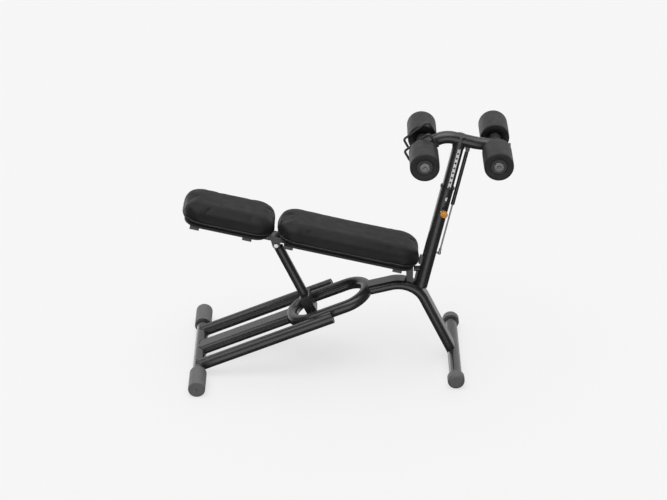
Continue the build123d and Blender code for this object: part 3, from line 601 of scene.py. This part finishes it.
def saddle(y, tube_r, half_flat=0.0):
    """Where a tube that runs up the slope comes out of the bar; half_flat makes it a flat oval."""
    origin = rear_bar + Vector((0, y, BASE_RAISE))
    path = []
    for i in range(WELD_STEPS):
        turn = 2 * pi * i / WELD_STEPS
        shift = half_flat if cos(turn) >= 0 else -half_flat
        spot = origin + over_slope * (tube_r * sin(turn)) + Vector((0, tube_r * cos(turn) + shift, 0))
        away = spot - rear_bar
        away.y = 0
        b = away.dot(up_slope)
        c = away.length_squared - FOOT_R ** 2
        reach = -b + max(b * b - c, 0) ** 0.5
        path.append(spot + up_slope * reach)
    return path


def weld(name, path):
    """A slightly lumpy painted bead."""
    shape = bmesh.new()
    swept_ring(shape, path, WELD_R, lambda k: 1 + WELD_RIPPLE * sin(k * 1.9))
    piece_from(name, shape, looks["frame_paint"], "frame")


for side in ("left", "right"):
    rail_low, rail_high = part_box(f"rail_{side}")
    weld(f"rail_{side}_weld", saddle((rail_low[1] + rail_high[1]) / 2, TUBE_R))
weld("centre_beam_weld", saddle(0, BEAM_END_R, BEAM_HALF_FLAT))


# ---- floor, light, camera ----
FLOOR_R = 60
FLOOR_DIFFUSE = 0.22
FLOOR_GLOW = 0.66


def make_floor():
    """A floor the camera sees as white, and that other rays pass, so the studio below it lights the part."""
    mesh = bpy.data.meshes.new("floor")
    shape = bmesh.new()
    bmesh.ops.create_circle(shape, cap_ends=True, radius=FLOOR_R, segments=96)
    shape.to_mesh(mesh)
    shape.free()
    floor = bpy.data.objects.new("floor", mesh)
    bpy.context.scene.collection.objects.link(floor)
    s = Shader("floor_white", Roughness=1.0, Emission_Strength=1.0)
    s.surface.inputs["Specular IOR Level"].default_value = 0.0
    s.surface.inputs["Emission Color"].default_value = (FLOOR_GLOW, FLOOR_GLOW, FLOOR_GLOW, 1)
    s.feed("Base Color", s.ramp(s.noise(3, 2), 0.3, 0.7, FLOOR_DIFFUSE * 0.995, FLOOR_DIFFUSE))
    seen = s.add("ShaderNodeLightPath").outputs["Is Camera Ray"]
    through = s.add("ShaderNodeBsdfTransparent")
    choice = s.add("ShaderNodeMixShader", {"Fac": seen})
    s.tree.links.new(through.outputs[0], choice.inputs[1])
    s.tree.links.new(s.surface.outputs[0], choice.inputs[2])
    s.tree.links.new(choice.outputs[0], s.tree.nodes["Material Output"].inputs["Surface"])
    mesh.materials.append(s.material)


def make_sun(name, strength, location, target, spread):
    light = bpy.data.lights.new(name, "SUN")
    light.energy = strength
    light.angle = spread
    lamp = bpy.data.objects.new(name, light)
    lamp.location = location
    lamp.rotation_euler = (Vector(target) - Vector(location)).to_track_quat("-Z", "Y").to_euler()
    bpy.context.scene.collection.objects.link(lamp)


class Sky:
    """The studio round the part: soft boxes drawn on the world by direction."""

    def __init__(self):
        self.world = bpy.data.worlds.new("studio")
        self.world.use_nodes = True
        self.tree = self.world.node_tree
        way = self.tree.nodes.new("ShaderNodeTexCoord").outputs["Generated"]
        split = self.tree.nodes.new("ShaderNodeSeparateXYZ")
        self.tree.links.new(way, split.inputs[0])
        self.x, self.y, self.z = split.outputs
        bpy.context.scene.world = self.world

    def math(self, operation, first, second):
        node = self.tree.nodes.new("ShaderNodeMath")
        node.operation = operation
        for socket, value in zip(node.inputs, (first, second)):
            if isinstance(value, bpy.types.NodeSocket):
                self.tree.links.new(value, socket)
            else:
                socket.default_value = value
        return node.outputs[0]

    def step(self, value, low, high):
        """0 below low, 1 above high, smooth between; low above high turns it round."""
        node = self.tree.nodes.new("ShaderNodeMapRange")
        node.interpolation_type = "SMOOTHSTEP"
        self.tree.links.new(value, node.inputs["Value"])
        node.inputs["From Min"].default_value = low
        node.inputs["From Max"].default_value = high
        return node.outputs["Result"]

    def box(self, strength, *steps):
        """Light of a strength from the directions that all the steps let through."""
        made = strength
        for limits in steps:
            made = self.math("MULTIPLY", self.step(*limits), made)
        return made

    def shine(self, *parts):
        """Add the parts up as the world's light."""
        total = parts[0]
        for part in parts[1:]:
            total = self.math("ADD", part, total)
        self.tree.links.new(total, self.tree.nodes["Background"].inputs["Strength"])
        self.tree.nodes["Background"].inputs["Color"].default_value = (1, 1, 1, 1)


make_floor()
sky = Sky()
AMBIENT = 0.05
overhead = sky.box(1.9, (sky.z, 0.74, 0.88))
camera_side = sky.box(1.65, (sky.y, -0.76, -0.88), (sky.z, -0.60, -0.48), (sky.z, 0.30, 0.18))
far_side = sky.box(1.0, (sky.y, 0.30, 0.60), (sky.z, -0.05, 0.12), (sky.z, 0.76, 0.60))
low_band = ((sky.y, 0.10, 0.45), (sky.z, -0.60, -0.40), (sky.z, 0.10, -0.10))
low_left = sky.box(2.1, (sky.x, -0.20, -0.50), *low_band)
low_right = sky.box(1.1, (sky.x, 0.20, 0.50), *low_band)
sky.shine(AMBIENT, overhead, camera_side, far_side, low_left, low_right)

LOOK_AT = (-0.055, 0, 0.574)
KEY_FROM = (-1.2, -1.5, 6)
make_sun("key", 1.1, KEY_FROM, LOOK_AT, spread=radians(60))

CAMERA_DISTANCE = 10.778
CAMERA_RISE = radians(27.5)
CAMERA_LENS = 124.14
lens = bpy.data.cameras.new("camera")
lens.lens = CAMERA_LENS
camera = bpy.data.objects.new("camera", lens)
camera.location = Vector(LOOK_AT) + CAMERA_DISTANCE * Vector((0, -cos(CAMERA_RISE), sin(CAMERA_RISE)))
camera.rotation_euler = (pi / 2 - CAMERA_RISE, 0, 0)
bpy.context.scene.collection.objects.link(camera)
bpy.context.scene.camera = camera
bpy.context.scene.view_settings.view_transform = "Standard"
